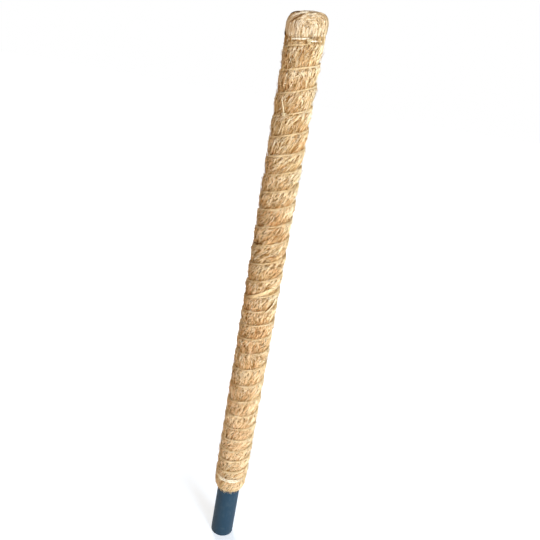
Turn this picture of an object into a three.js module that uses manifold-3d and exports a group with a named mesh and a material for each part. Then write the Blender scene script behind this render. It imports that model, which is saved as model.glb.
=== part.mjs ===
// A moss pole for climbing plants: a plastic pipe dressed in coir fibre. Twine winds round the coir from
// the foot of the wrap to the neck, and a pad of coir, tied at the neck, closes the top. The foot of the pipe
// stays bare and goes into the soil of a pot.
//
// Millimetres, +Z up along the pole, origin on the axis at the foot of the pipe. The pole's front faces -Y.

import * as THREE from "three";
import { mergeVertices } from "three/addons/utils/BufferGeometryUtils.js";
import Module from "manifold-3d";

const wasm = await Module();
wasm.setup();

// Pole and pipe
const poleLength = 610; // foot of the pipe to the top of the crown
const pipeDiameter = 26.7;
const pipeWall = 2.2;
const pipeEdge = 0.5; // chamfer on the sawn ends of the pipe
const bareFoot = 71; // pipe left bare below the wrap
const seatGap = 0.3; // clearance wherever one piece seats on another

// Coir wrap
const boundCoir = 2.95; // coir pressed down under the twine
const bandBulge = 1.9; // swelling of the coir between two turns of twine
const bandUneven = 0.35; // how much that swelling varies round the pole
const bandLip = 1.5; // height of the blunt lip at the top of each band
const slopeShare = 0.42; // part of the way up a band, where its slope eases
const slopeSwell = 0.65; // part of the full swelling reached there
const lapCoir = 1.5; // coir thinned at the top, where the crown laps over it
const footCoir = 1.2; // coir at the lower edge of the wrap
const footFlare = 1.3; // swelling of the loose fibre ends below the foot tie
const footRound = 9; // height of the rounded lower end

// Twine, its spiral and its ties
const twineDiameter = 1.6;
const bindingPitch = 18.4; // sought on average: the spiral takes the nearest that ends it at the neck knot
const spiralLag = [13.7, 1.7, 3.5, 1.4, 1.7, -0.9, -1.5]; // waves by which a spiral wound by hand lags
const spiralStart = THREE.MathUtils.degToRad(150); // where the spiral leaves the foot tie
const footTieHeight = 17; // foot tie above the lower edge of the wrap
const footTieTurns = 2;
const neckTieTurns = 1;
const tieSpacing = 2.2; // from turn to turn in a tie
const neckTilt = THREE.MathUtils.degToRad(7); // the neck tie and the crown sit askew, higher towards +X

// Crown
const crownHeight = 24; // neck tie to the top of the crown
const crownDiameter = 38.4;
const crownCorner = 10; // rounding of the crown's shoulder
const crownFullness = 3.2; // how squarely the crown's side stands over the neck, 2 being an ellipse
const crownThickness = 5; // coir over the end of the pipe
const crownRise = 1; // the top is slightly domed
const gathers = 9; // folds drawn in by the neck tie
const gatherDepth = 0.9;
const skirtHem = 2; // edge of the crown below the binding twine's end
const wadRise = 4.7; // wad of loose coir standing above the pipe's mouth
const wadDepth = 24; // wad pushed down the pipe

// Knots
const knotStrand = 1.2; // twine drawn tight
const knotReach = 0.75; // spread of the knot's three lobes
const knotRise = 0.64; // strands pass over each other
const joiningKnotAngle = THREE.MathUtils.degToRad(-24);
const joiningKnotTurnsDown = 3.4; // turns of the spiral between the neck and the joining knot
const neckKnotAngle = THREE.MathUtils.degToRad(13);
const longTail = 14;
const shortTail = 5;

// Fineness of the meshes
const columns = 16; // facets round a turn of the wrap and of the twine
const twineSides = 6;
const lathePoints = 32;
const crownColumns = 36;
const arcSteps = 4;
const lobeSteps = 6;
const knotSides = 5;
const tailSteps = 4;

// Worked out from the above
const fullTurn = 2 * Math.PI;
const pipeRadius = pipeDiameter / 2;
const pipeBore = pipeRadius - pipeWall;
const wrapBore = pipeRadius + seatGap;
const grooveRadius = wrapBore + boundCoir;
const crestRadius = grooveRadius + bandBulge;
const highestCrest = crestRadius + bandUneven;
const twineRadius = twineDiameter / 2;
const twineLay = grooveRadius + seatGap + twineRadius; // from the axis to the middle of the twine
const grooveHalf = twineRadius + seatGap; // half the flat floor of a groove
const neckHeight = poleLength - crownHeight;
const neckTieHalf = (neckTieTurns * tieSpacing) / 2;
const footTieMiddle = bareFoot + footTieHeight;
const footTieHalf = (footTieTurns * tieSpacing) / 2;
const spiralFoot = footTieMiddle + footTieHalf + tieSpacing;
const spiralNeck = neckHeight - neckTieHalf - tieSpacing;
const spiralRise = spiralNeck - spiralFoot;
const lastPart = (neckKnotAngle - spiralStart) / fullTurn;
const spiralTurns = lastPart + Math.round(spiralRise / bindingPitch - lastPart);
const spiralPitch = spiralRise / spiralTurns;
const skirtFoot = spiralNeck - twineRadius - skirtHem;
const wrapTop = skirtFoot - seatGap;
const lapTop = neckHeight + neckTieHalf;
const lapRadius = wrapBore + lapCoir;
const wadFoot = poleLength - crownThickness - seatGap - wadRise;
const pipeTop = wadFoot - seatGap;
const knotHalf = 3 * knotReach + knotStrand / 2;
const knotHalfThickness = knotRise + knotStrand / 2;

// A point at an angle from the front of the pole, counted towards +X
function at(angle, radius, height) {
  return new THREE.Vector3(radius * Math.sin(angle), -radius * Math.cos(angle), height);
}

// Angle and height of the spiral after a number of turns
function spiralAngle(turns) {
  return spiralStart + fullTurn * turns;
}

function spiralHeight(turns) {
  const share = turns / spiralTurns;
  const wave = (strength, i) => strength * Math.sin((i + 1) * Math.PI * share);
  const lag = spiralLag.map(wave).reduce((sum, part) => sum + part);
  return spiralFoot + spiralPitch * turns - lag;
}

// Height that the skewed neck adds at an angle and a radius
function skew(angle, radius) {
  return radius * Math.sin(angle) * Math.tan(neckTilt);
}

// Solids for joining and cutting, and back to geometry

function solid(geometry) {
  const bare = new THREE.BufferGeometry();
  bare.setAttribute("position", geometry.getAttribute("position"));
  bare.setIndex(geometry.index);
  const merged = mergeVertices(bare);
  const corners = merged.index.array;
  const triVerts = [];
  for (let i = 0; i < corners.length; i += 3) {
    const [a, b, c] = corners.slice(i, i + 3);
    if (a !== b && b !== c && c !== a) triVerts.push(a, b, c);
  }
  const vertProperties = merged.getAttribute("position").array;
  const mesh = new wasm.Mesh({ numProp: 3, vertProperties, triVerts: new Uint32Array(triVerts) });
  return new wasm.Manifold(mesh);
}

function geometryOf(body) {
  const mesh = body.getMesh();
  const geometry = new THREE.BufferGeometry();
  geometry.setAttribute("position", new THREE.BufferAttribute(mesh.vertProperties, 3));
  geometry.setIndex(new THREE.BufferAttribute(mesh.triVerts, 1));
  return geometry;
}

function closedSurface(points, triangles) {
  return new THREE.BufferGeometry().setFromPoints(points).setIndex(triangles);
}

// A profile of radius and height, anticlockwise, turned about the pole's axis
function turned(profile) {
  return new THREE.LatheGeometry(profile, lathePoints).rotateX(Math.PI / 2);
}

function profilePoint(radius, height) {
  return new THREE.Vector2(radius, height);
}

// Points along a quarter of an ellipse, from its side up or down to its end on the axis side
function quarterRound(centreRadius, centreHeight, reach, rise) {
  const points = [];
  for (let step = 0; step <= arcSteps; step++) {
    const angle = (Math.PI / 2) * (step / arcSteps);
    points.push(profilePoint(centreRadius + reach * Math.cos(angle), centreHeight + rise * Math.sin(angle)));
  }
  return points;
}

// Pipe, sawn square and slightly chamfered at both ends
function pipeGeometry() {
  const profile = [
    profilePoint(pipeBore + pipeEdge, 0),
    profilePoint(pipeRadius - pipeEdge, 0),
    profilePoint(pipeRadius, pipeEdge),
    profilePoint(pipeRadius, pipeTop - pipeEdge),
    profilePoint(pipeRadius - pipeEdge, pipeTop),
    profilePoint(pipeBore + pipeEdge, pipeTop),
    profilePoint(pipeBore, pipeTop - pipeEdge),
    profilePoint(pipeBore, pipeEdge),
    profilePoint(pipeBore + pipeEdge, 0),
  ];
  return turned(profile);
}

// Wad of loose coir: a plug down the pipe's mouth under a low dome that backs the crown. spare grows it
// all over.
function wadProfile(spare) {
  return [
    profilePoint(0, pipeTop - wadDepth - spare),
    profilePoint(pipeBore - seatGap + spare, pipeTop - wadDepth - spare),
    profilePoint(pipeBore - seatGap + spare, wadFoot - spare),
    ...quarterRound(0, wadFoot - spare, pipeRadius - pipeEdge + spare, wadRise + 2 * spare),
  ];
}

// Body of the wrap as one long helical band. Each turn of it runs from the groove under the twine, up a slow
// swell to a blunt lip just below the next turn of twine. Below the spiral the band has no groove.
function helicalBody() {
  const profile = [
    { swell: 0, beside: 0, place: (below) => below + grooveHalf },
    { swell: slopeSwell, beside: 0, place: (below, above) => below + slopeShare * (above - below) },
    { swell: 1, beside: 0, place: (below, above) => above - grooveHalf - bandLip },
    { swell: 0, beside: 1, place: (below, above) => above - grooveHalf },
  ];
  const uneven = (turns) =>
    bandUneven * Math.sin(2.37 * fullTurn * turns) * Math.cos(0.61 * fullTurn * turns);
  const spareTurns = 3;
  const lowest = -spareTurns;
  const rows = (Math.ceil(spiralTurns) + 2 * spareTurns) * profile.length;
  const points = [];
  for (let row = 0; row <= rows; row++) {
    const { swell, beside, place } = profile[row % profile.length];
    for (let column = 0; column < columns; column++) {
      const turns = lowest + Math.floor(row / profile.length) + column / columns;
      const height = place(spiralHeight(turns), spiralHeight(turns + 1));
      const share = turns + beside < 0 ? 1 : swell;
      points.push(at(spiralAngle(turns), grooveRadius + share * (bandBulge + uneven(turns)), height));
    }
  }
  const corner = (row, column) =>
    column < columns ? row * columns + column : (row + profile.length) * columns;
  const triangles = [];
  for (let row = 0; row < rows; row++) {
    for (let column = 0; column < columns; column++) {
      if (column === columns - 1 && row >= rows - profile.length) continue;
      const [a, b] = [corner(row, column), corner(row, column + 1)];
      const [c, d] = [corner(row + 1, column + 1), corner(row + 1, column)];
      triangles.push(a, b, c, a, c, d);
    }
  }
  // Both ends of the band stop on a step, and fan out from a point on the axis
  const lowerEdge = [];
  const upperEdge = [];
  for (let column = 0; column < columns; column++) {
    lowerEdge.push(corner(0, column));
    upperEdge.push(corner(rows, column));
  }
  for (let step = 0; step < profile.length; step++) {
    lowerEdge.push(corner(profile.length - step, 0));
    upperEdge.push(corner(rows - 1 - step, columns - 1));
  }
  const lowerTip = points.push(at(0, 0, spiralHeight(lowest))) - 1;
  const upperTip = points.push(at(0, 0, spiralHeight(lowest + rows / profile.length + 1))) - 1;
  lowerEdge.forEach((here, i) => triangles.push(lowerTip, lowerEdge[(i + 1) % lowerEdge.length], here));
  upperEdge.forEach((here, i) => triangles.push(upperTip, here, upperEdge[(i + 1) % upperEdge.length]));
  return closedSurface(points, triangles);
}

// What the wrap keeps of the helical body: bore, rounded foot, groove of the foot tie, lap under the crown
function wrapEnvelope() {
  const outside = highestCrest + twineDiameter;
  const tieFoot = footTieMiddle - footTieHalf - grooveHalf;
  const tieTop = spiralFoot + grooveHalf;
  const lowerEdge = wrapBore + footCoir;
  const flare = grooveRadius + footFlare - lowerEdge;
  return turned([
    ...quarterRound(lowerEdge, bareFoot + footRound, flare, -footRound).reverse(),
    profilePoint(grooveRadius, tieFoot),
    profilePoint(grooveRadius, tieTop),
    profilePoint(outside, tieTop),
    profilePoint(outside, wrapTop),
    profilePoint(lapRadius, wrapTop),
    profilePoint(lapRadius, lapTop),
    profilePoint(wrapBore, lapTop),
    profilePoint(wrapBore, bareFoot),
    profilePoint(lowerEdge, bareFoot),
  ]);
}

// Nest that the joining knot presses into the coir
function knotNest() {
  const nest = new THREE.SphereGeometry(knotHalf + seatGap, 10, 6);
  return nest.translate(...joiningKnotPlace());
}

function wrapGeometry() {
  const wrap = solid(helicalBody()).intersect(solid(wrapEnvelope())).subtract(solid(knotNest()));
  return geometryOf(wrap);
}

// Crown: a pad folded over the end of the pole, drawn into gathers above the neck tie
function crownBody() {
  const crownRadius = crownDiameter / 2;
  const neckRadius = grooveRadius - seatGap; // clear of the straight runs of the tie
  const neckTop = neckHeight + neckTieHalf + twineRadius + seatGap;
  const cornerCentre = crownRadius - crownCorner;
  const shoulderFoot = poleLength - skew(Math.PI / 2, cornerCentre) - crownCorner / Math.cos(neckTilt);
  const swellSteps = 3;
  const rings = [
    { radius: neckRadius, height: skirtFoot, fold: 0, level: true },
    { radius: neckRadius, height: neckTop, fold: 0 },
  ];
  for (let step = 1; step <= swellSteps; step++) {
    const share = step / swellSteps;
    const swell = (1 - (1 - share) ** crownFullness) ** (1 / crownFullness);
    const radius = neckRadius + (crownRadius - neckRadius) * swell;
    const height = neckTop + (shoulderFoot - neckTop) * share;
    rings.push({ radius, height, fold: gatherDepth * (1 - share / 2) });
  }
  quarterRound(cornerCentre, shoulderFoot, crownCorner, crownCorner).forEach(({ x, y }, step) => {
    if (step > 0) rings.push({ radius: x, height: y, fold: (gatherDepth / 2) * (1 - step / arcSteps) });
  });
  const points = [];
  for (const { radius, height, fold, level } of rings) {
    for (let column = 0; column < crownColumns; column++) {
      const angle = fullTurn * (column / crownColumns);
      const here = radius - fold * (0.5 + 0.5 * Math.cos(gathers * angle));
      points.push(at(angle, here, level ? height : height + skew(angle, here)));
    }
  }
  const foot = points.push(at(0, 0, skirtFoot)) - 1;
  const top = points.push(at(0, 0, shoulderFoot + crownCorner + crownRise)) - 1;
  const lastRing = (rings.length - 1) * crownColumns;
  const triangles = [];
  for (let column = 0; column < crownColumns; column++) {
    const next = (column + 1) % crownColumns;
    for (let ring = 0; ring < lastRing; ring += crownColumns) {
      const [a, b] = [ring + column, ring + next];
      const [c, d] = [b + crownColumns, a + crownColumns];
      triangles.push(a, b, c, a, c, d);
    }
    triangles.push(foot, next, column, top, lastRing + column, lastRing + next);
  }
  return closedSurface(points, triangles);
}

function crownGeometry() {
  const aroundLap = lapRadius + seatGap;
  const below = skirtFoot - twineDiameter;
  const inside = turned([
    profilePoint(0, below),
    profilePoint(aroundLap, below),
    profilePoint(aroundLap, lapTop + seatGap),
    profilePoint(wrapBore, lapTop + seatGap),
    profilePoint(wrapBore, wadFoot),
    profilePoint(0, wadFoot),
  ]);
  const wad = turned(wadProfile(seatGap));
  return geometryOf(solid(crownBody()).subtract(solid(inside)).subtract(solid(wad)));
}

// Twine wound round the pole between two counts of turns. Rings stand at the corners of the wrap, and each
// end runs straight for one diameter.
function woundTwine(name, firstTurn, lastTurn, angleAt, heightAt) {
  const centre = (turns) => at(angleAt(turns), twineLay, heightAt(turns));
  const tangent = (turns) => centre(turns + 0.001).sub(centre(turns - 0.001)).normalize();
  const stops = [firstTurn];
  const half = 0.5 / columns;
  const firstCorner = Math.ceil((firstTurn + half) * columns);
  for (let k = firstCorner; k / columns < lastTurn - half; k++) stops.push(k / columns);
  stops.push(lastTurn);
  const ring = (turns) => ({ middle: centre(turns), along: tangent(turns), out: angleAt(turns) });
  const course = stops.map(ring);
  const [first, last] = [course[0], course[course.length - 1]];
  const straight = (end, way) => ({ ...end, middle: end.middle.clone().addScaledVector(end.along, way) });
  course.unshift(straight(first, -twineDiameter));
  course.push(straight(last, twineDiameter));
  reportGap(name, course.map((ring) => ring.middle));

  const points = [];
  for (const { middle, along, out } of course) {
    const outward = at(out, 1, 0);
    const across = new THREE.Vector3().crossVectors(along, outward).normalize();
    for (let side = 0; side < twineSides; side++) {
      const angle = fullTurn * (side / twineSides);
      const point = middle.clone().addScaledVector(outward, twineRadius * Math.cos(angle));
      points.push(point.addScaledVector(across, twineRadius * Math.sin(angle)));
    }
  }
  const start = points.push(course[0].middle) - 1;
  const end = points.push(course[course.length - 1].middle) - 1;
  const lastRing = (course.length - 1) * twineSides;
  const triangles = [];
  for (let side = 0; side < twineSides; side++) {
    const next = (side + 1) % twineSides;
    for (let ring = 0; ring < lastRing; ring += twineSides) {
      const [a, b] = [ring + side, ring + next];
      const [c, d] = [b + twineSides, a + twineSides];
      triangles.push(a, b, c, a, c, d);
    }
    triangles.push(start, next, side, end, lastRing + side, lastRing + next);
  }
  return closedSurface(points, triangles);
}

// Least gap between turns of a winding, measured on the points of its middle line
function reportGap(name, middles) {
  let least = Infinity;
  for (let i = 0; i < middles.length; i++) {
    for (let j = i + columns / 2; j < middles.length; j++) {
      least = Math.min(least, middles[i].distanceTo(middles[j]));
    }
  }
  console.log(`${name}: least gap between turns ${(least - twineDiameter).toFixed(2)} mm`);
}

// A tie is a few close turns round one height, starting and ending under its knot
function tieGeometry(name, middle, turns, knotAngle, skewed) {
  const angleAt = (count) => knotAngle + fullTurn * count;
  const levelAt = (count) => middle + tieSpacing * (count - turns / 2);
  const heightAt = (count) => levelAt(count) + (skewed ? skew(angleAt(count), twineLay) : 0);
  return woundTwine(name, 0, turns, angleAt, heightAt);
}

// Knots. In a knot's own axes X runs round the pole, Y up and Z outwards.

class KnotLobe extends THREE.Curve {
  constructor(lobe) {
    super();
    this.middle = Math.PI / 3 + (fullTurn / 3) * lobe;
  }
  getPoint(share, point = new THREE.Vector3()) {
    const halfLobe = fullTurn / 6 + 0.12; // lobes run a little into each other
    const angle = this.middle + halfLobe * (2 * share - 1);
    const x = knotReach * (Math.sin(angle) + 2 * Math.sin(2 * angle));
    const y = knotReach * (Math.cos(angle) - 2 * Math.cos(2 * angle));
    return point.set(x, y, -knotRise * Math.sin(3 * angle));
  }
}

function strand(course, steps) {
  const section = [];
  for (let side = 0; side < knotSides; side++) {
    const angle = fullTurn * (side / knotSides);
    section.push(new THREE.Vector2(Math.cos(angle), Math.sin(angle)).multiplyScalar(knotStrand / 2));
  }
  const options = { steps, bevelEnabled: false, extrudePath: course };
  return solid(new THREE.ExtrudeGeometry(new THREE.Shape(section), options));
}

// A tail leaves the middle of the knot, turns to its own way and lies along the wrap
function tailCourse(length, lean, rise) {
  const middle = new THREE.Vector3(lean * length * 0.4, Math.sign(rise) * length * 0.5, 0.4 * Math.abs(rise));
  const end = new THREE.Vector3(lean * length, Math.sign(rise) * length, Math.abs(rise));
  return new THREE.QuadraticBezierCurve3(new THREE.Vector3(), middle, end);
}

function knotGeometry(tails) {
  let knot = strand(new KnotLobe(0), lobeSteps);
  for (const lobe of [1, 2]) knot = knot.add(strand(new KnotLobe(lobe), lobeSteps));
  for (const tail of tails) knot = knot.add(strand(tail, tailSteps));
  return geometryOf(knot);
}

// The joining knot lies on the spiral, on the turn nearest to its place below the neck
function joiningKnotTurns() {
  const lead = (joiningKnotAngle - spiralStart) / fullTurn;
  const wanted = spiralTurns - joiningKnotTurnsDown;
  return lead + Math.round(wanted - lead);
}

function joiningKnotPlace() {
  return at(joiningKnotAngle, twineLay + seatGap, spiralHeight(joiningKnotTurns()));
}

function placeKnot(knot, place, angle) {
  knot.position.copy(place);
  knot.rotation.set(Math.PI / 2, angle, 0, "ZXY");
  return knot;
}

// Materials
const finish = (color, roughness) => new THREE.MeshStandardMaterial({ color, roughness, metalness: 0 });
const pipePlastic = finish(0x3f5364, 0.5);
const coir = finish(0xc99f66, 0.95);
const looseCoir = finish(0xb08a55, 0.95);
const twine = finish(0xe3cda0, 0.9);

function piece(name, geometry, material) {
  const mesh = new THREE.Mesh(geometry, material);
  mesh.name = name;
  return mesh;
}

// Core: the pipe and the wad in its mouth
const core = new THREE.Group();
core.add(piece("core_pipe", pipeGeometry(), pipePlastic));
core.add(piece("crown_wad", turned(wadProfile(0)), looseCoir));

// Dressing: the coir wrap and the crown
const dressing = new THREE.Group();
dressing.add(piece("coir_wrap", wrapGeometry(), coir));
dressing.add(piece("crown_pad", crownGeometry(), coir));

// Binding: two lengths of twine that meet at the joining knot
const binding = new THREE.Group();
const knotTurns = joiningKnotTurns();
const knotClear = (knotHalf + seatGap + twineDiameter) / (fullTurn * twineLay);
const upperTwine = woundTwine("upper twine", knotTurns + knotClear, spiralTurns, spiralAngle, spiralHeight);
const lowerTwine = woundTwine("lower twine", 0, knotTurns - knotClear, spiralAngle, spiralHeight);
binding.add(piece("binding_twine_upper", upperTwine, twine));
binding.add(piece("binding_twine_lower", lowerTwine, twine));
const overBands = highestCrest + seatGap + knotStrand / 2 - (twineLay + seatGap);
const joiningKnot = piece("joining_knot", knotGeometry([tailCourse(longTail, -0.3, overBands)]), twine);
binding.add(placeKnot(joiningKnot, joiningKnotPlace(), joiningKnotAngle));

// Ties at the neck and at the foot, each with its knot lying over its ends and over the end of the spiral
const ties = new THREE.Group();
const neckTie = tieGeometry("neck tie", neckHeight, neckTieTurns, neckKnotAngle, true);
const footTie = tieGeometry("foot tie", footTieMiddle, footTieTurns, spiralStart, false);
ties.add(piece("neck_tie", neckTie, twine));
ties.add(piece("foot_tie", footTie, twine));
const overTie = twineLay + twineRadius + seatGap + knotHalfThickness;
const tails = [tailCourse(shortTail, 0.35, -seatGap), tailCourse(shortTail, -0.35, -seatGap)];
const neckKnot = piece("neck_knot", knotGeometry(tails), twine);
const footKnot = piece("foot_knot", knotGeometry(tails), twine);
const neckKnotHeight = (spiralNeck + neckHeight + neckTieHalf) / 2;
const footKnotHeight = (spiralFoot + footTieMiddle - footTieHalf) / 2;
ties.add(placeKnot(neckKnot, at(neckKnotAngle, overTie, neckKnotHeight), neckKnotAngle));
ties.add(placeKnot(footKnot, at(spiralStart, overTie, footKnotHeight), spiralStart));

const mossPole = new THREE.Group();
mossPole.name = "moss_pole";
mossPole.add(core, dressing, binding, ties);

export default mossPole;
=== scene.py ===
import math

import bpy
import numpy as np
from mathutils import Matrix, Vector


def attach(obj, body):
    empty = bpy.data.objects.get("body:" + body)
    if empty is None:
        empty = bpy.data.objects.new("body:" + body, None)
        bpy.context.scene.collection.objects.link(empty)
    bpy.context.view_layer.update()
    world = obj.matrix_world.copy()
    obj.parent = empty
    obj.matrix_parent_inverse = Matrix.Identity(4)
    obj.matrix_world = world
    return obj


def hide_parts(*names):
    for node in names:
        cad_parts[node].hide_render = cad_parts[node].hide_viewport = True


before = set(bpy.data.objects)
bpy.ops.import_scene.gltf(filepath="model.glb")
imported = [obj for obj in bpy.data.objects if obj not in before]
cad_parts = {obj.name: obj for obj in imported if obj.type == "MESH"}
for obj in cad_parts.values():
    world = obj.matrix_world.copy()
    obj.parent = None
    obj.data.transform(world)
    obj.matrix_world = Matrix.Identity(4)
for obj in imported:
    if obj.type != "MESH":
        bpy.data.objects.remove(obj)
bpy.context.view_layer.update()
bpy.ops.object.select_all(action="DESELECT")
scene = bpy.context.scene
scene.view_settings.view_transform = "Standard"
mm = 0.001
fullTurn = 2 * math.pi

# sizes of the pole in millimetres, the same as its solids
pole = {"length": 610, "pipeRadius": 13.35, "pipeWall": 2.2, "pipeTop": 599.7, "bareFoot": 71,
        "wrapBore": 13.65, "groove": 16.6, "grooveHalf": 1.1, "bulge": 1.9, "riseShape": 0.85, "lip": 1.5,
        "uneven": 0.35, "unevenWaves": (2.37, 0.61), "twineLay": 17.7, "neck": 586,
        "neckTilt": math.radians(7), "tieHalf": 1.2, "tieGap": 0.4, "footTie": 88}
spiral = {"foot": 92.4, "neck": 582.7, "start": math.radians(150), "end": math.radians(13),
          "wholeTurns": 27, "lag": (13.7, 1.7, 3.5, 1.4, 1.7, -0.9, -1.5),
          "lean": 2.2, "leanIn": (290, 340), "leanOut": (574, 550)}
spiralTurns = spiral["wholeTurns"] + (spiral["end"] - spiral["start"]) / fullTurn
spiralPitch = (spiral["neck"] - spiral["foot"]) / spiralTurns


# camera: looks down on the front of the pole, and leans so that the pole leans in the picture
view = {"aim": 353.9, "distance": 649.8, "down": 20.5, "lean": 9.8, "aside": 4.7, "lens": 40.7,
        "nearest": 0.01}


def placeCamera():
    down = math.radians(view["down"])
    back = Vector((0, -math.cos(down), math.sin(down)))
    lean = Matrix.Rotation(math.radians(view["lean"]), 3, back)
    right = lean @ Vector((1, 0, 0))
    up = lean @ back.cross(Vector((1, 0, 0)))
    spot = (Vector((0, 0, view["aim"])) + back * view["distance"] + right * view["aside"]) * mm
    turned = Matrix((right, up, back)).transposed()
    bpy.ops.object.camera_add(location=spot, rotation=turned.to_euler())
    camera = bpy.context.object
    camera.data.lens = view["lens"]
    camera.data.clip_start = view["nearest"]
    scene.camera = camera


placeCamera()


# node helpers: an input is a plain value or the output of another node
def feedNode(tree, node, inputs):
    for name, value in inputs.items():
        if isinstance(value, bpy.types.NodeSocket):
            tree.links.new(value, node.inputs[name])
        else:
            node.inputs[name].default_value = value


def addNode(tree, kind, inputs, **settings):
    node = tree.nodes.new("ShaderNode" + kind)
    for name, value in settings.items():
        setattr(node, name, value)
    feedNode(tree, node, inputs)
    return node


def mathNode(tree, operation, *values):
    return addNode(tree, "Math", dict(enumerate(values)), operation=operation).outputs[0]


def mixColours(tree, share, first, second):
    mix = addNode(tree, "Mix", {"Factor": share, "A": first, "B": second}, data_type="RGBA")
    return mix.outputs["Result"]


def mapRange(tree, value, given, made):
    spread = addNode(tree, "MapRange", {"Value": value, "From Min": given[0], "From Max": given[1],
                                        "To Min": made[0], "To Max": made[1]})
    return spread.outputs["Result"]


def addNoise(tree, vector, scale, detail):
    noise = addNode(tree, "TexNoise", {"Vector": vector, "Scale": scale, "Detail": detail})
    return noise.outputs["Fac"]


def addBump(tree, body, height, strength, distance):
    bump = addNode(tree, "Bump", {"Height": height, "Strength": strength, "Distance": distance})
    feedNode(tree, body, {"Normal": bump.outputs["Normal"]})


def newGroup(name, inputs, outputs):
    group = bpy.data.node_groups.new(name, "ShaderNodeTree")
    for socket, kind in inputs.items():
        group.interface.new_socket(socket, in_out="INPUT", socket_type="NodeSocket" + kind)
    for socket in outputs:
        group.interface.new_socket(socket, in_out="OUTPUT", socket_type="NodeSocketFloat")
    return group, group.nodes.new("NodeGroupInput").outputs, group.nodes.new("NodeGroupOutput")


# studio: a white room, a soft cool key from the right, a weak orange fill near the front and a lamp behind
studio = {"room": 0.12, "roomTint": (1, 0.79, 0.5), "floor": (0.86, 0.86, 0.86),
          "floorSeen": (0.72, 0.81, 0.945), "floorRoughness": 0.8, "floorSize": 12, "floorDrop": 0.0005,
          "fade": (0.1, 0.6), "glow": (0.42, 1), "lampAim": 0.32, "lampSize": 0.8}
lamps = {"key": {"place": (0.95, -1.29, 0.55), "power": 32, "tint": (0.92, 1.06, 1.17)},
         "fill": {"place": (-0.22, -1.56, 0.85), "power": 8.6, "tint": (1, 0.64, 0.36)},
         "back": {"place": (-0.55, 1.5, 0.8), "power": 26, "tint": (1, 0.97, 0.92)}}


def softLamp(name, lamp):
    aim = Vector((0, 0, studio["lampAim"])) - Vector(lamp["place"])
    bpy.ops.object.light_add(type="AREA", location=lamp["place"],
                             rotation=aim.to_track_quat("-Z", "Y").to_euler())
    light = bpy.context.object
    light.name = name
    light.data.shape = "DISK"
    light.data.size = studio["lampSize"]
    light.data.energy = lamp["power"]
    light.data.color = lamp["tint"]


# 1 for rays that see the background, in the picture or in a reflection, and 0 for rays that light the pole
def seenRays(tree):
    rays = addNode(tree, "LightPath", {}).outputs
    seen = rays["Is Camera Ray"]
    for other in ("Is Glossy Ray", "Is Transmission Ray"):
        seen = mathNode(tree, "MAXIMUM", seen, rays[other])
    return seen


def whiteRoom():
    scene.world = bpy.data.worlds.new("room")
    scene.world.use_nodes = True
    tree = scene.world.node_tree
    # white where it is seen, a little warm where it lights the pole
    warm = [studio["room"] * part for part in studio["roomTint"]]
    colour = mixColours(tree, seenRays(tree), (*warm, 1), (1, 1, 1, 1))
    feedNode(tree, tree.nodes["Background"], {"Color": colour})


def whiteFloor():
    bpy.ops.mesh.primitive_plane_add(size=studio["floorSize"], location=(0, 0, -studio["floorDrop"]))
    floor = bpy.context.object
    floor.name = "floor"
    paint = bpy.data.materials.new("floorPaint")
    paint.use_nodes = True
    tree = paint.node_tree
    body = tree.nodes["Principled BSDF"]
    # the light in the shadow is warm: the floor is seen a little cool, so that its shadow is a plain grey
    seen = seenRays(tree)
    colour = mixColours(tree, seen, (*studio["floor"], 1), (*studio["floorSeen"], 1))
    feedNode(tree, body, {"Base Color": colour, "Roughness": studio["floorRoughness"]})
    # away from the pole's foot the floor goes over into the white of the room
    place = addNode(tree, "TexCoord", {}).outputs["Object"]
    away = addNode(tree, "VectorMath", {0: place}, operation="LENGTH").outputs["Value"]
    level = mathNode(tree, "MULTIPLY", seen, mapRange(tree, away, studio["fade"], studio["glow"]))
    glow = addNode(tree, "Emission", {"Strength": level})
    both = addNode(tree, "AddShader", {0: body.outputs["BSDF"], 1: glow.outputs["Emission"]})
    feedNode(tree, tree.nodes["Material Output"], {"Surface": both.outputs["Shader"]})
    floor.data.materials.append(paint)


for lampName, lamp in lamps.items():
    softLamp(lampName, lamp)
whiteRoom()
whiteFloor()
print("studio and camera placed")


# places on the pole: an angle from the front towards +X, a radius and a height, in millimetres
def onPole(angle, radius, height):
    return np.stack([radius * np.sin(angle), -radius * np.cos(angle), height + 0 * angle], -1)


# 0 up to the first value, 1 from the last value on
def between(value, first, last):
    return np.clip((value - first) / (last - first), 0, 1)


def spiralHeight(turns):
    share = turns / spiralTurns
    lag = sum(strength * np.sin((wave + 1) * np.pi * share) for wave, strength in enumerate(spiral["lag"]))
    return spiral["foot"] + spiralPitch * turns - lag


# above the middle of the pole the turns are drawn up on the right
def turnLean(angle, height):
    amount = between(height, *spiral["leanIn"]) * between(height, *spiral["leanOut"])
    return spiral["lean"] * np.sin(angle) * amount


def twineHeight(turns):
    height = spiralHeight(turns)
    return height + turnLean(spiral["start"] + fullTurn * turns, height)


# the neck tie and the crown sit askew
def skew(angle, radius):
    return radius * np.sin(angle) * math.tan(pole["neckTilt"])


def underTie(angle):
    return pole["neck"] - pole["tieHalf"] + skew(angle, pole["twineLay"])


# a table to find the turn from the height
turnTable = np.linspace(-6, spiralTurns + 4, 6000)
heightTable = spiralHeight(turnTable)


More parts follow.
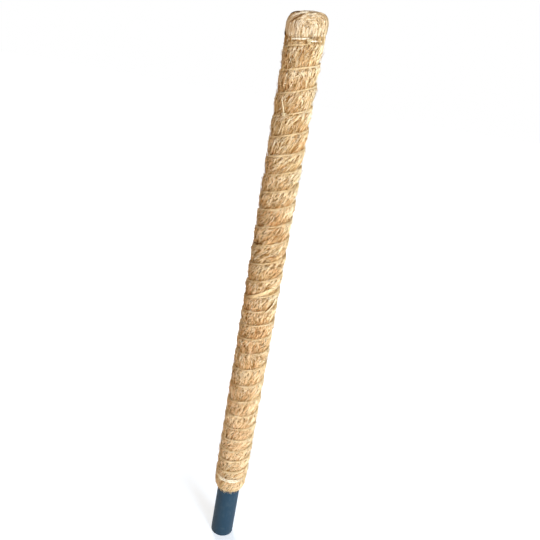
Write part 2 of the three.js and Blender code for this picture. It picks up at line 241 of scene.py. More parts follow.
# swelling of the coir between the twine below and the twine above: a slow rise, then a blunt lip
def bandSwell(angle, height):
    height = height - turnLean(angle, height)
    turns = np.interp(height, heightTable, turnTable)
    share = ((angle - spiral["start"]) / fullTurn) % 1
    lower = np.floor(turns - share) + share
    below = spiralHeight(lower)
    above = np.where(lower + 1 > spiralTurns, underTie(angle) + pole["tieGap"], spiralHeight(lower + 1))
    room = np.maximum(above - below - 2 * pole["grooveHalf"] - pole["lip"], 1)
    rise = np.clip((height - below - pole["grooveHalf"]) / room, 0, 1)
    rise = np.where(lower < 0, 1, np.sin(rise * np.pi / 2) ** pole["riseShape"])
    lip = np.clip((above - height - pole["grooveHalf"]) / pole["lip"], 0, 1)
    lip = np.where(lower + 1 < 0, 1, np.sin(lip * np.pi / 2))
    first, second = pole["unevenWaves"]
    uneven = pole["uneven"] * np.sin(first * fullTurn * lower) * np.cos(second * fullTurn * lower)
    return rise * lip, pole["bulge"] + uneven, height - below


# rounded foot of the wrap and the groove of the foot tie
foot = {"shoulder": 80, "high": 9, "radius": 14.85, "deep": 3.05,
        "tieHeights": (84.7, 93.5, 94.15), "tieRadii": (16.6, 16.6, 30)}
footRound = np.linspace(0, np.pi / 2, 9)
footHeights = np.concatenate([foot["shoulder"] - foot["high"] * np.cos(footRound), foot["tieHeights"]])
footRadii = np.concatenate([foot["radius"] + foot["deep"] * np.sin(footRound), foot["tieRadii"]])


# radius of the wrap, its swelling from 0 to 1 and the height over the twine below
def wrapRadius(angle, height):
    swell, bulge, over = bandSwell(angle, height)
    radius = np.minimum(pole["groove"] + swell * bulge, np.interp(height, footHeights, footRadii))
    return radius, swell, over


# mesh helpers
def addPiece(name, material, slot, *nodes):
    piece = bpy.context.object
    piece.name = piece.data.name = name
    piece.data.materials.clear()
    piece.data.materials.append(material)
    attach(piece, "root")
    if nodes:
        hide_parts(*nodes)
    bpy.ops.object.select_all(action="DESELECT")
    return piece


def placeMesh(mesh):
    piece = bpy.data.objects.new(mesh.name, mesh)
    scene.collection.objects.link(piece)
    bpy.ops.object.select_all(action="DESELECT")
    piece.select_set(True)
    bpy.context.view_layer.objects.active = piece
    return piece


def joinParts(parts):
    bpy.ops.object.select_all(action="DESELECT")
    for part in parts:
        part.select_set(True)
    bpy.context.view_layer.objects.active = parts[0]
    bpy.ops.object.join()


# many thin tubes in one mesh: paths is strands x points x 3 in millimetres, and thick and tones are
# given at each point. On the map the tone runs across and the length runs up. Its left half is one
# family of colours, its right half another.
strandMap = {"tones": (0.02, 0.94), "width": 0.015}


def strandMesh(paths, thick, tones, family=0, sides=3, mapRows=None):
    count, points = paths.shape[:2]
    mapRows = mapRows or points - 1
    tones = (np.clip(np.broadcast_to(tones, (count, points)), *strandMap["tones"]) + family) / 2
    along = np.gradient(paths, axis=1)
    along /= np.linalg.norm(along, axis=2, keepdims=True) + 1e-9
    out = paths * np.array([1, 1, 0])
    out[..., 2] = 1e-3
    across = np.cross(along, out)
    across /= np.linalg.norm(across, axis=2, keepdims=True) + 1e-9
    lift = np.cross(across, along)
    turn = np.arange(sides) * fullTurn / sides
    ring = np.cos(turn)[:, None] * lift[:, :, None, :] + np.sin(turn)[:, None] * across[:, :, None, :]
    corners = paths[:, :, None, :] + ring * thick[:, :, None, None]
    number = np.arange(count * points * sides).reshape(count, points, sides)
    nextSide = np.roll(number, -1, axis=2)
    quads = np.stack([number[:, :-1], number[:, 1:], nextSide[:, 1:], nextSide[:, :-1]], -1)
    width, rise = strandMap["width"] / sides, 1 / mapRows
    low = np.broadcast_to((np.arange(points - 1) % mapRows * rise)[None, :, None], quads.shape[:3])
    side = np.broadcast_to(np.arange(sides) * width, quads.shape[:3])
    first, last = tones[:, :-1, None] + side, tones[:, 1:, None] + side
    quadMap = np.stack([np.stack([first, low], -1), np.stack([last, low + rise], -1),
                        np.stack([last + width, low + rise], -1), np.stack([first + width, low], -1)], -2)
    caps = np.concatenate([number[:, 0], number[:, -1, ::-1]])
    capTurn = np.stack([0.5 + 0.5 * np.cos(turn), 0.5 + 0.5 * np.sin(turn)], -1)
    capTones = np.concatenate([tones[:, 0], tones[:, -1]])
    capMap = capTones[:, None, None] * np.array([1, 0]) + capTurn * strandMap["width"]
    loops = np.concatenate([quads.reshape(-1), caps.reshape(-1)])
    starts = np.concatenate([np.arange(quads.size // 4) * 4, quads.size + np.arange(len(caps)) * sides])
    mesh = bpy.data.meshes.new("strands")
    mesh.vertices.add(corners.size // 3)
    mesh.vertices.foreach_set("co", (corners * mm).astype(np.float32).ravel())
    mesh.loops.add(len(loops))
    mesh.loops.foreach_set("vertex_index", loops.astype(np.int32))
    mesh.polygons.add(len(starts))
    mesh.polygons.foreach_set("loop_start", starts.astype(np.int32))
    uvMap = mesh.uv_layers.new(name="OFBake")
    uvMap.data.foreach_set("uv", np.concatenate([quadMap.ravel(), capMap.ravel()]).astype(np.float32))
    mesh.update(calc_edges=True)
    mesh.polygons.foreach_set("use_smooth", np.ones(len(starts), bool))
    return placeMesh(mesh)


# materials
def srgb(red, green, blue):
    def linear(value):
        value /= 255
        return value / 12.92 if value <= 0.04045 else ((value + 0.055) / 1.055) ** 2.4
    return (linear(red), linear(green), linear(blue), 1)


def newMaterial(name, roughness, specular):
    material = bpy.data.materials.new(name)
    material.use_nodes = True
    tree = material.node_tree
    body = tree.nodes["Principled BSDF"]
    feedNode(tree, body, {"Roughness": roughness, "Specular IOR Level": specular})
    return material, tree, body


def colourRamp(tree, tone, stops):
    ramp = addNode(tree, "ValToRGB", {"Fac": tone})
    while len(ramp.color_ramp.elements) < len(stops):
        ramp.color_ramp.elements.new(0.5)
    for element, (place, colour) in zip(ramp.color_ramp.elements, stops):
        element.position = place
        element.color = srgb(*colour)
    return ramp.outputs["Color"]


# streaks along a fibre direction: the pattern is stretched along the third axis of the vector
streak = {"detail": 3, "fineShare": 0.45, "contrast": (0.33, 0.67)}


def makeStreaks():
    group, given, made = newGroup(
        "fibreStreaks", {"Vector": "Vector", "Coarse": "Float", "Fine": "Float", "Stretch": "Float"},
        ("Tone", "Height"))
    shape = addNode(group, "CombineXYZ", {"X": 1, "Y": 1, "Z": given["Stretch"]}).outputs["Vector"]
    squeezed = addNode(group, "VectorMath", {0: given["Vector"], 1: shape}, operation="MULTIPLY")
    coarse, fine = (addNoise(group, squeezed.outputs["Vector"], given[size], streak["detail"])
                    for size in ("Coarse", "Fine"))
    blend = addNode(group, "Mix", {"Factor": streak["fineShare"], "A": coarse, "B": fine}).outputs["Result"]
    feedNode(group, made, {"Tone": mapRange(group, blend, streak["contrast"], (0, 1)), "Height": blend})
    return group


streaks = makeStreaks()

coirTones = {"deep": (92, 60, 26), "brown": (152, 110, 62), "tan": (208, 172, 119),
             "straw": (238, 213, 167), "pale": (252, 238, 210)}
russetTones = {"deep": (102, 55, 24), "brown": (170, 107, 58), "tan": (220, 165, 110),
               "straw": (244, 205, 155), "pale": (252, 226, 186)}
# the crown's coir is painted paler and cooler than the wrap's, as painted light falling on it from above
crownLitTones = {"deep": (92, 65, 38), "brown": (151, 116, 77), "tan": (205, 176, 134),
              "straw": (235, 215, 181), "pale": (247, 238, 220)}


# coir in the mass: darker than the loose fibres, partly its own colour and partly painted shade where it
# shows between them, and streaked along their lay or, in the wad, upwards
def coirMaterial(name, look, stops):
    material, tree, body = newMaterial(name, look["roughness"], look["specular"])
    if look["hasLay"]:
        vector = addNode(tree, "Attribute", {}, attribute_name="lay").outputs["Vector"]
    else:
        vector = addNode(tree, "TexCoord", {}).outputs["Object"]
    grain = addNode(tree, "Group", {"Vector": vector, **look["grain"]}, node_tree=streaks)
    colours = [(place, coirTones[tone]) for place, tone in stops]
    feedNode(tree, body, {"Base Color": colourRamp(tree, grain.outputs["Tone"], colours)})
    addBump(tree, body, grain.outputs["Height"], *look["bump"])
    return material


# tone of a strand from its place across the map, with flecks along it: Second is 1 on the right half
fleck = {"detail": 2, "strength": 0.3, "shift": -0.15}


def makeStrandTone():
    group, given, made = newGroup("strandTone", {"Map": "Vector", "Flecks": "Vector"},
                                  ("Tone", "Fleck", "Second"))
    across = addNode(group, "SeparateXYZ", {"Vector": given["Map"]}).outputs["X"]
    within = mathNode(group, "FRACT", mathNode(group, "MULTIPLY", across, 2))
    spots = addNode(group, "VectorMath", {0: given["Map"], 1: given["Flecks"]}, operation="MULTIPLY")
    noise = addNoise(group, spots.outputs["Vector"], 1, fleck["detail"])
    shift = mathNode(group, "MULTIPLY_ADD", noise, fleck["strength"], fleck["shift"])
    feedNode(group, made, {"Tone": mathNode(group, "ADD", within, shift), "Fleck": noise,
                           "Second": mathNode(group, "GREATER_THAN", across, 0.5)})
    return group


strandTone = makeStrandTone()

# single fibres and plies of twine: the tone picks the colour from one of two families
strandLook = {"specular": 0.06, "smoother": 0.12, "rougher": 0.15, "bump": (0.4, 0.0002)}


def strandMaterial(name, leftStops, rightStops, roughness, flecks):
    material, tree, body = newMaterial(name, roughness, strandLook["specular"])
    place = addNode(tree, "UVMap", {}, uv_map="OFBake").outputs["UV"]
    strand = addNode(tree, "Group", {"Map": place, "Flecks": flecks}, node_tree=strandTone).outputs
    left, right = (colourRamp(tree, strand["Tone"], stops) for stops in (leftStops, rightStops))
    gloss = mapRange(tree, strand["Fleck"], (0, 1),
                     (roughness - strandLook["smoother"], roughness + strandLook["rougher"]))
    feedNode(tree, body, {"Base Color": mixColours(tree, strand["Second"], left, right), "Roughness": gloss})
    addBump(tree, body, strand["Fleck"], *strandLook["bump"])
    return material


def fibreStops(tones):
    return list(zip((0.0, 0.2, 0.45, 0.72, 1.0), tones.values()))


bedLook = {"hasLay": True, "roughness": 0.85, "specular": 0.05, "bump": (0.9, 0.0012),
           "grain": {"Coarse": 620, "Fine": 2400, "Stretch": 0.05}}
fibreLook = {"roughness": 0.7, "flecks": (180, 6, 1)}
wrapBedMaterial = coirMaterial("wrapCoir", bedLook, ((0.05, "deep"), (0.5, "brown"), (0.9, "tan")))
crownBedMaterial = coirMaterial("crownCoir", bedLook, ((0.0, "deep"), (0.3, "brown"), (0.7, "tan")))
fibreMaterial = strandMaterial("coirFibre", fibreStops(coirTones), fibreStops(russetTones), **fibreLook)
crownMaterial = strandMaterial("crownFibre", fibreStops(crownLitTones), fibreStops(coirTones), **fibreLook)
# the spiral is straw-coloured twine, and the ties and knots are whiter
spiralStops = [(0.0, (176, 140, 92)), (0.5, (226, 198, 150)), (1.0, (244, 226, 188))]
tieStops = [(0.0, (206, 184, 140)), (0.5, (240, 226, 192)), (1.0, (255, 250, 234))]
twineMaterial = strandMaterial("paleTwine", spiralStops, tieStops, roughness=0.75, flecks=(80, 40, 1))


# pipe: slate plastic with faint scuffs along it and patches of dust
pipe = {"sides": 96, "edge": 0.5, "edgeSteps": 2, "edgeAngle": math.radians(40),
        "smoothAngle": math.radians(35), "colour": (37, 61, 79), "scuff": (59, 84, 103),
        "dust": (74, 89, 98), "scuffScale": (900, 900, 40), "scuffDetail": 4, "scuffed": (0.62, 0.8),
        "dustScale": 140, "dustDetail": 5, "dusted": (0.5, 0.75), "mostDust": 0.3,
        "roughness": 0.5, "gloss": (0.38, 0.72), "specular": 0.1, "bump": (0.25, 0.0002)}


def pipeMaterial():
    material, tree, body = newMaterial("slatePlastic", pipe["roughness"], pipe["specular"])
    place = addNode(tree, "TexCoord", {}).outputs["Object"]
    along = addNode(tree, "Mapping", {"Vector": place, "Scale": pipe["scuffScale"]}).outputs["Vector"]
    scuffs = addNoise(tree, along, 1, pipe["scuffDetail"])
    dust = addNoise(tree, place, pipe["dustScale"], pipe["dustDetail"])
    plain, scuffed = pipe["scuffed"]
    plastic = colourRamp(tree, scuffs, [(plain, pipe["colour"]), (scuffed, pipe["scuff"])])
    amount = mapRange(tree, dust, pipe["dusted"], (0, pipe["mostDust"]))
    feedNode(tree, body, {"Base Color": mixColours(tree, amount, plastic, srgb(*pipe["dust"])),
                          "Roughness": mapRange(tree, dust, (0, 1), pipe["gloss"])})
    addBump(tree, body, scuffs, *pipe["bump"])
    return material


def makePipe():
    height = pole["pipeTop"] * mm
    bpy.ops.mesh.primitive_cylinder_add(vertices=pipe["sides"], radius=pole["pipeRadius"] * mm, depth=height,
                                        end_fill_type="NOTHING", location=(0, 0, height / 2))
    bpy.ops.object.transform_apply(location=True, rotation=True, scale=True)
    tube = bpy.context.object
    wall = tube.modifiers.new("wall", "SOLIDIFY")
    wall.thickness = pole["pipeWall"] * mm
    wall.offset = -1
    wall.use_rim = True
    edge = tube.modifiers.new("edge", "BEVEL")
    edge.width = pipe["edge"] * mm
    edge.segments = pipe["edgeSteps"]
    edge.limit_method = "ANGLE"
    edge.angle_limit = pipe["edgeAngle"]
    for modifier in ("wall", "edge"):
        bpy.ops.object.modifier_apply(modifier=modifier)
    bpy.ops.object.shade_smooth_by_angle(angle=pipe["smoothAngle"])
    addPiece("corePipe", pipeMaterial(), "pipe", "core_pipe")


makePipe()
print("pipe made")


# bed of the wrap: a sheet rolled round the pipe, swelling between the turns of twine
bed = {"around": 140, "rows": 440, "depth": 0.85, "grooveShare": 0.35, "rough": 0.25,
       "waves": ((7, -0.21), (13, -0.4), (22, -0.7), (31, -0.9)), "overBore": 0.4, "intoTie": 0.3,
       "layAngle": math.radians(56), "layRadius": 17}


# coordinates for the streaks of a bed
def setLay(sheet, places):
    attribute = sheet.data.attributes.new("lay", "FLOAT_VECTOR", "POINT")
    attribute.data.foreach_set("vector", (places * mm).astype(np.float32).ravel())


# a flat grid to roll up: gives each vertex its angle round the pole and its share of the way up
def flatSheet(around, rows):
    bpy.ops.mesh.primitive_grid_add(x_subdivisions=around, y_subdivisions=rows, size=1)
    sheet = bpy.context.object
    flat = np.zeros(len(sheet.data.vertices) * 3, np.float32)
    sheet.data.vertices.foreach_get("co", flat)
    flat = flat.reshape(-1, 3).astype(float) + 0.5
    angle = np.round(flat[:, 0] * around) % around * fullTurn / around
    return sheet, angle, flat[:, 1]


def closeSheet(sheet, places, bore):
    sheet.data.vertices.foreach_set("co", (places * mm).astype(np.float32).ravel())
    bpy.ops.object.mode_set(mode="EDIT")
    bpy.ops.mesh.select_all(action="SELECT")
    bpy.ops.mesh.remove_doubles(threshold=1e-6)
    if bore:
        bpy.ops.mesh.select_all(action="DESELECT")
        bpy.ops.mesh.select_non_manifold(extend=False, use_wire=False, use_multi_face=False,
                                         use_non_contiguous=False, use_verts=False)
        bpy.ops.mesh.bridge_edge_loops()
    bpy.ops.mesh.select_all(action="SELECT")
    bpy.ops.mesh.normals_make_consistent(inside=False)
    bpy.ops.object.mode_set(mode="OBJECT")
    bpy.ops.object.shade_smooth()


def makeBed(rng):
    sheet, angle, share = flatSheet(bed["around"], bed["rows"])
    height = pole["bareFoot"] + (underTie(angle) + bed["intoTie"] - pole["bareFoot"]) * share
    radius, swell = wrapRadius(angle, height)[:2]
    phases = rng.uniform(0, 6, len(bed["waves"]))
    rough = sum(np.sin(around * angle + phase + height * up)
                for (around, up), phase in zip(bed["waves"], phases)) / len(bed["waves"])
    depth = bed["depth"] * (bed["grooveShare"] + (1 - bed["grooveShare"]) * swell)
    radius = radius - depth + bed["rough"] * rough * swell
    # the first and last rows turn in to the pipe, and the bore joins them
    edge = np.minimum(share, 1 - share) < 0.5 / bed["rows"]
    radius = np.where(edge, pole["wrapBore"], np.maximum(radius, pole["wrapBore"] + bed["overBore"]))
    # the angle is sheared with height, so the streaks climb round the pole
    climb = 1 / (bed["layRadius"] * math.tan(bed["layAngle"]))
    setLay(sheet, onPole(angle - height * climb, bed["layRadius"], height))
    closeSheet(sheet, onPole(angle, radius, height), bore=True)
    addPiece("coirBed", wrapBedMaterial, "coir", "coir_wrap")


makeBed(np.random.default_rng(3))
print("bed of the wrap made")


# strands: they tuck in and thin out at both ends, and those of a lock share what is drawn for the lock
strandEnds = {"tuckFrom": 0.06, "tuckShape": 0.6, "thin": 0.45}


def stepsAlong(points):
    return np.linspace(0, 1, points)[None, :]


def endTuck(step):
    start = strandEnds["tuckFrom"]
    return np.sin(np.pi * (start + (1 - 2 * start) * step)) ** strandEnds["tuckShape"]


# one draw for each strand
def draw(rng, count, low, high):
    return rng.uniform(low, high, (count, 1))


def drawNormal(rng, count, middle, spread):
    return rng.normal(middle, spread, (count, 1))


def drawThick(rng, count, thick, tuck):
    return draw(rng, count, *thick) * (strandEnds["thin"] + (1 - strandEnds["thin"]) * tuck)


def perLock(values, each):
    return np.repeat(values, each)[:, None]


# fibres of the wrap lie in locks that climb to the right, dip under the twine and tuck in at both ends
# the crease values paint shade into the crease above each turn of twine (and paint it a little paler near the
# foot), and the swell tones paint a highlight on the swell of each band
fibres = {"locks": 9600, "perLock": 3, "points": 6, "zones": 6, "rollRadius": 17.5, "startLow": 64,
          "startHigh": 582, "lowest": 71.4, "underTie": 0.3, "length": (5, 16), "strandLength": (0.8, 1.1),
          "climb": ((70, 190, 245, 315, 380, 445, 500, 555), (66, 68, 86, 66, 54, 64, 68, 80)),
          "drift": 6, "spread": 17, "strandSpread": 4, "bend": 24, "halfWidth": (0.15, 0.42),
          "drawnIn": 0.6, "wave": 0.22, "waveTurn": (4, 9), "thick": (0.15, 0.26), "lift": (0.0, 0.8),
          "strandLift": 0.1, "sunk": 0.6, "raised": 0.3, "grooveLift": 0.25, "tone": (0.63, 0.08),
          "strandTone": 0.07, "patchTone": 0.05, "liftShade": 0.3, "evenLift": 0.35, "streak": 0.11,
          "streakLift": 0.07, "streakWidths": (3.4, 5.4), "streakShifts": (0.6, -1.02), "crease": 0.3,
          "creaseFrom": 150, "creaseOver": 170, "creaseLeast": -0.3, "creaseReach": 5, "creaseTop": 574,
          "swellHighlight": ((0, 0.2, 0.5, 0.72, 0.86, 0.95, 1), (0, 0.01, -0.02, 0.01, 0.07, 0.12, 0.19))}
# towards the foot the locks are longer and paler, and their streaks stronger
footFibres = {"longIn": (260, 180), "longer": 0.3, "paleIn": (240, 180), "paler": 0.17, "streak": 0.14,
              "streakLift": 0.1}


# places spread evenly over the whole wrap, without clumps or gaps
evenSteps = (0.7548776662, 0.5698402910)


def evenSpread(count, low, high):
    number = np.arange(count) + 0.5
    around, up = (number * share % 1 for share in evenSteps)
    return around * fullTurn, low + (high - low) * up


# broad streaks that follow the lay of the fibres across each band
def combed(angle, height, over):
    lay = np.radians(np.interp(height, *fibres["climb"]))
    across = fibres["rollRadius"] * angle * np.sin(lay) - over * np.cos(lay)
    return sum(np.sin(fullTurn * across / width + shift * (height - over))
               for width, shift in zip(fibres["streakWidths"], fibres["streakShifts"]))


def lockPaths(rng):
    locks, each, points = fibres["locks"], fibres["perLock"], fibres["points"]
    count, step = locks * each, stepsAlong(points)
    length = perLock(rng.uniform(*fibres["length"], locks), each) * draw(rng, count, *fibres["strandLength"])
    starts = evenSpread(locks, fibres["startLow"], fibres["startHigh"])
    angle0, height0 = (perLock(start, each) for start in starts)
    length = length * (1 + footFibres["longer"] * between(height0, *footFibres["longIn"]))
    paleFoot = between(height0, *footFibres["paleIn"])
    # neighbouring locks climb at about the same angle, which changes up the pole
    drift = np.sin(height0 * 0.047 + 2 * angle0) + np.sin(height0 * 0.13 - angle0)
    climb = np.interp(height0, *fibres["climb"]) + fibres["drift"] * drift
    climb = climb + perLock(rng.normal(0, fibres["spread"], locks), each)
    climb = climb + drawNormal(rng, count, 0, fibres["strandSpread"])
    bend = perLock(rng.normal(0, fibres["bend"], locks), each)
    heading = np.radians(climb + bend * (step - 0.5))
    rise = np.cumsum(np.sin(heading), 1) / points * length
    run = np.cumsum(np.cos(heading), 1) / points * length
    # strands of a lock draw together towards its ends
    width = perLock(rng.uniform(*fibres["halfWidth"], locks), each) * draw(rng, count, -1, 1)
    wave = fibres["wave"] * np.sin(step * draw(rng, count, *fibres["waveTurn"]) + draw(rng, count, 0, 6))
    aside = width * (1 - fibres["drawnIn"] * np.abs(2 * step - 1) ** 2) + wave
    angle = angle0 + (run - aside * np.sin(heading)) / fibres["rollRadius"]
    height = height0 + rise + aside * np.cos(heading)
    height = np.clip(height, fibres["lowest"], underTie(angle) - fibres["underTie"])
    radius, swell, over = wrapRadius(angle, height)
    tuck = endTuck(step)
    lift = perLock(rng.uniform(*fibres["lift"], locks), each)
    lift = lift + draw(rng, count, -fibres["strandLift"], fibres["strandLift"])
    middle = slice(points // 2, points // 2 + 1)
    streaked = combed(angle[:, middle], height[:, middle], over[:, middle])
    lift = lift + (fibres["streakLift"] + footFibres["streakLift"] * paleFoot) * streaked
    onBand = fibres["grooveLift"] + (1 - fibres["grooveLift"]) * swell
    radius = radius - fibres["sunk"] + tuck * (fibres["raised"] + lift * onBand)
    thick = drawThick(rng, count, fibres["thick"], tuck)
    tone = perLock(rng.normal(*fibres["tone"], locks), each) + drawNormal(rng, count, 0, fibres["strandTone"])
    tone = tone + fibres["patchTone"] * np.sin(height0 * 0.06 + angle0)
    # painted shade: fibres lying deeper are darker, raised ones paler
    tone = tone + fibres["liftShade"] * (lift - fibres["evenLift"])
    # painted shade: brown in the crease above each turn of twine; painted highlight: pale on the lip below
    # the next
    strength = np.clip((height - fibres["creaseFrom"]) / fibres["creaseOver"], fibres["creaseLeast"], 1)
    crease = fibres["crease"] * strength * (height < fibres["creaseTop"])
    tone = tone - crease * np.clip(1 - over / fibres["creaseReach"], 0, 1)
    tone = tone + np.interp(swell, *fibres["swellHighlight"]) + fibres["streak"] * streaked
    tone = tone + (footFibres["paler"] + footFibres["streak"] * streaked) * paleFoot
    return onPole(angle, radius, height), thick, tone, russetShare(rng, angle0, height0), height.mean(1)


# patches of redder coir, more of them towards the foot
russet = {"share": 0.36, "patches": 0.3, "foot": 0.4, "evenAt": 420, "span": 250, "least": -0.4}


def russetShare(rng, angle, height):
    patches = np.sin(height * 0.071 + 1.3 * angle) * np.sin(height * 0.023 - 0.8 * angle + 1)
    share = russet["share"] + russet["patches"] * patches
    low = np.clip((russet["evenAt"] - height) / russet["span"], russet["least"], 1)
    share = share + russet["foot"] * low
    return (rng.uniform(0, 1, angle.shape) < share).astype(float)


def makeFibres(rng):
    paths, thick, tones, family, middle = lockPaths(rng)
    zones = np.linspace(pole["bareFoot"] - 5, pole["neck"] + 4, fibres["zones"] + 1)
    for zone in range(fibres["zones"]):
        chosen = (middle >= zones[zone]) & (middle < zones[zone + 1])
        strandMesh(paths[chosen], thick[chosen], tones[chosen], family[chosen])
        addPiece("coirFibres%d" % (zone + 1), fibreMaterial, "coir")


makeFibres(np.random.default_rng(11))
print("fibres of the wrap laid")


# fibres along the lip of each band, painted pale as a highlight on the lip, more of them on the lower turns
lips = {"count": 1500, "low": 400, "lowTurns": 9, "points": 7, "length": (5, 22), "below": (-0.6, 2.4),
        "slant": 3, "slants": (-0.3, 1), "radius": 18.1, "wave": 0.28, "waves": 1.7, "off": (-0.25, 0.5),
        "dip": 1.2, "nearTwine": 1.0, "overTwine": 18.62, "rollRadius": 17.9, "fromFoot": 0.1,
        "fromNeck": 0.05, "thick": (0.13, 0.23), "tone": (0.84, 0.12)}
# loose fibres that bridge the twine
bridges = {"count": 1050, "points": 7, "length": (6, 16), "climb": (20, 80), "bend": 12,
           "middle": (0.35, 0.65), "fromEnds": 0.1, "sunk": 0.3, "overTwine": 18.65, "off": (-0.05, 0.25),
           "dip": 1.3, "rollRadius": 18.5, "thick": (0.12, 0.22), "tone": (0.66, 0.16)}


def makeLips(rng):
    count, step = lips["count"], stepsAlong(lips["points"])
    length = draw(rng, count, *lips["length"])
    isLow = np.arange(count) < lips["low"]
    last = np.where(isLow, lips["lowTurns"], spiralTurns - lips["fromNeck"])[:, None]
    turns = draw(rng, count, lips["fromFoot"], last)
    turns = turns + (step - 0.5) * length / (lips["rollRadius"] * fullTurn)
    turns = np.clip(turns, 0, spiralTurns)
    below = draw(rng, count, *lips["below"])
    below = below - draw(rng, count, *lips["slants"]) * lips["slant"] * (step - 0.5)
    angle = spiral["start"] + fullTurn * turns
    height = np.minimum(twineHeight(turns) - below, underTie(angle) - pole["tieGap"])
    tuck = endTuck(step)
    dip = lips["dip"] * (1 - tuck)
    radius = lips["radius"] + lips["wave"] * np.sin(fullTurn * turns * lips["waves"])
    radius = radius + draw(rng, count, *lips["off"]) - dip
    overTwine = np.maximum(radius, lips["overTwine"] - dip)
    radius = np.where(np.abs(below) < lips["nearTwine"], overTwine, radius)
    thick = drawThick(rng, count, lips["thick"], tuck)
    strandMesh(onPole(angle, radius, height), thick, drawNormal(rng, count, *lips["tone"]))
    addPiece("lipFibres", fibreMaterial, "coir")


def makeBridges(rng):
    count, step = bridges["count"], stepsAlong(bridges["points"])
    length = draw(rng, count, *bridges["length"])
    turns = draw(rng, count, bridges["fromEnds"], spiralTurns - bridges["fromEnds"])
    climb = draw(rng, count, *bridges["climb"])
    climb = np.radians(climb + drawNormal(rng, count, 0, bridges["bend"]) * (step - 0.5))
    way = (step - draw(rng, count, *bridges["middle"])) * length
    angle = spiral["start"] + fullTurn * turns + way * np.cos(climb) / bridges["rollRadius"]
    height = np.minimum(twineHeight(turns) + way * np.sin(climb), underTie(angle) - pole["tieGap"])
    tuck = endTuck(step)
    radius = np.maximum(wrapRadius(angle, height)[0] - bridges["sunk"], bridges["overTwine"])
    radius = radius - bridges["dip"] * (1 - tuck) + draw(rng, count, *bridges["off"])
    thick = drawThick(rng, count, bridges["thick"], tuck)
    strandMesh(onPole(angle, radius, height), thick, drawNormal(rng, count, *bridges["tone"]))
    addPiece("bridgeFibres", fibreMaterial, "coir")


# broad locks that stand out on the front, among them near-black locks painted as shade under the curl and in
# a crease on the left: places as degrees and millimetres, from end to end
wisps = {"paleSash": {"places": ((-64, 323), (0, 333), (56, 344.5)),
                      "strands": 54, "halfWidth": 1.7, "tone": 0.74},
         "rightCurl": {"places": ((24, 312), (49, 321), (62, 331)),
                       "strands": 22, "halfWidth": 0.6, "tone": 0.8},
         "curlShade": {"places": ((19, 312), (45, 321.5), (58, 331)),
                       "strands": 12, "halfWidth": 0.35, "tone": 0.1},
         "leftCreaseShade": {"places": ((-70, 385), (-46, 386.3), (-24, 387.5)),
                        "strands": 18, "halfWidth": 0.55, "tone": 0.03},
         "footLock": {"places": ((-37, 75), (-28, 80.5), (-19, 86)),
                      "strands": 30, "halfWidth": 1.3, "tone": 0.55}}
wispLay = {"points": 9, "proud": 0.35, "off": (-0.2, 0.25), "dip": 1.3, "toneSpread": 0.07, "overTwine": 18.3}
singleLock = {"rollRadius": 18, "uneven": 0.05, "drawnIn": 0.7, "thick": (0.15, 0.26)}


# strands of one lock side by side: their angles, and their heights or ways, on a course through three places
def lockCourse(rng, lock, step):
    count, rollRadius = lock["strands"], singleLock["rollRadius"]
    first, middle, last = (np.array((math.radians(place[0]), place[1])) for place in lock["places"])
    along = np.clip(step + drawNormal(rng, count, 0, singleLock["uneven"]), 0, 1)[..., None]
    course = (1 - along) * (1 - 2 * along) * first + 4 * along * (1 - along) * middle \
        + along * (2 * along - 1) * last
    heading = np.arctan2(last[1] - first[1], (last[0] - first[0]) * rollRadius)
    narrowed = 1 - singleLock["drawnIn"] * np.abs(2 * step - 1) ** 2
    aside = draw(rng, count, -1, 1) * lock["halfWidth"] * narrowed
    return course[..., 0] - aside * np.sin(heading) / rollRadius, course[..., 1] + aside * np.cos(heading)


def onWrap(angle, height, lift):
    return onPole(angle, np.maximum(wrapRadius(angle, height)[0], wispLay["overTwine"]) + lift, height)


# single locks in one piece: onSurface gives the places for their angles, ways and lifts
def makeLocks(rng, piece, material, locks, lay, onSurface):
    parts = []
    step = stepsAlong(lay["points"])
    tuck = endTuck(step)
    for lock in locks.values():
        count = lock["strands"]
        angle, way = lockCourse(rng, lock, step)
        lift = lay["proud"] + draw(rng, count, *lay["off"]) - lay["dip"] * (1 - tuck)
        thick = drawThick(rng, count, singleLock["thick"], tuck)
        tone = lock["tone"] + drawNormal(rng, count, 0, lay["toneSpread"])
        parts.append(strandMesh(onSurface(angle, way, lift), thick, tone))
    joinParts(parts)
    addPiece(piece, material, "coir")


makeLips(np.random.default_rng(31))
makeBridges(np.random.default_rng(37))
makeLocks(np.random.default_rng(53), "wispFibres", fibreMaterial, wisps, wispLay, onWrap)


# loose ends that stand off the wrap, less far towards the top and paler towards the foot
strays = {"count": 5600, "points": 6, "length": (3, 11), "climb": (50, 40), "bend": 40, "rollRadius": 19,
          "starts": (76, 578), "lowest": 70, "highest": 598, "wrapTop": 582, "off": (0.8, 4.2),
          "calmAbove": 460, "calm": 0.65, "sunk": 0.4, "thick": (0.13, 0.24), "thin": 0.5,
          "tone": (0.32, 0.2), "paleIn": (240, 160), "paler": 0.22}
# ragged hem over the pipe
hem = {"count": 640, "points": 6, "lean": 0.12, "top": (3, 8), "drop": (2.5, 8), "short": 3.5,
       "inwards": 0.2, "overPipe": 0.35, "leastOverPipe": 0.3, "off": 0.3, "thick": (0.1, 0.22),
       "thin": 0.5, "tone": (0.55, 0.18)}


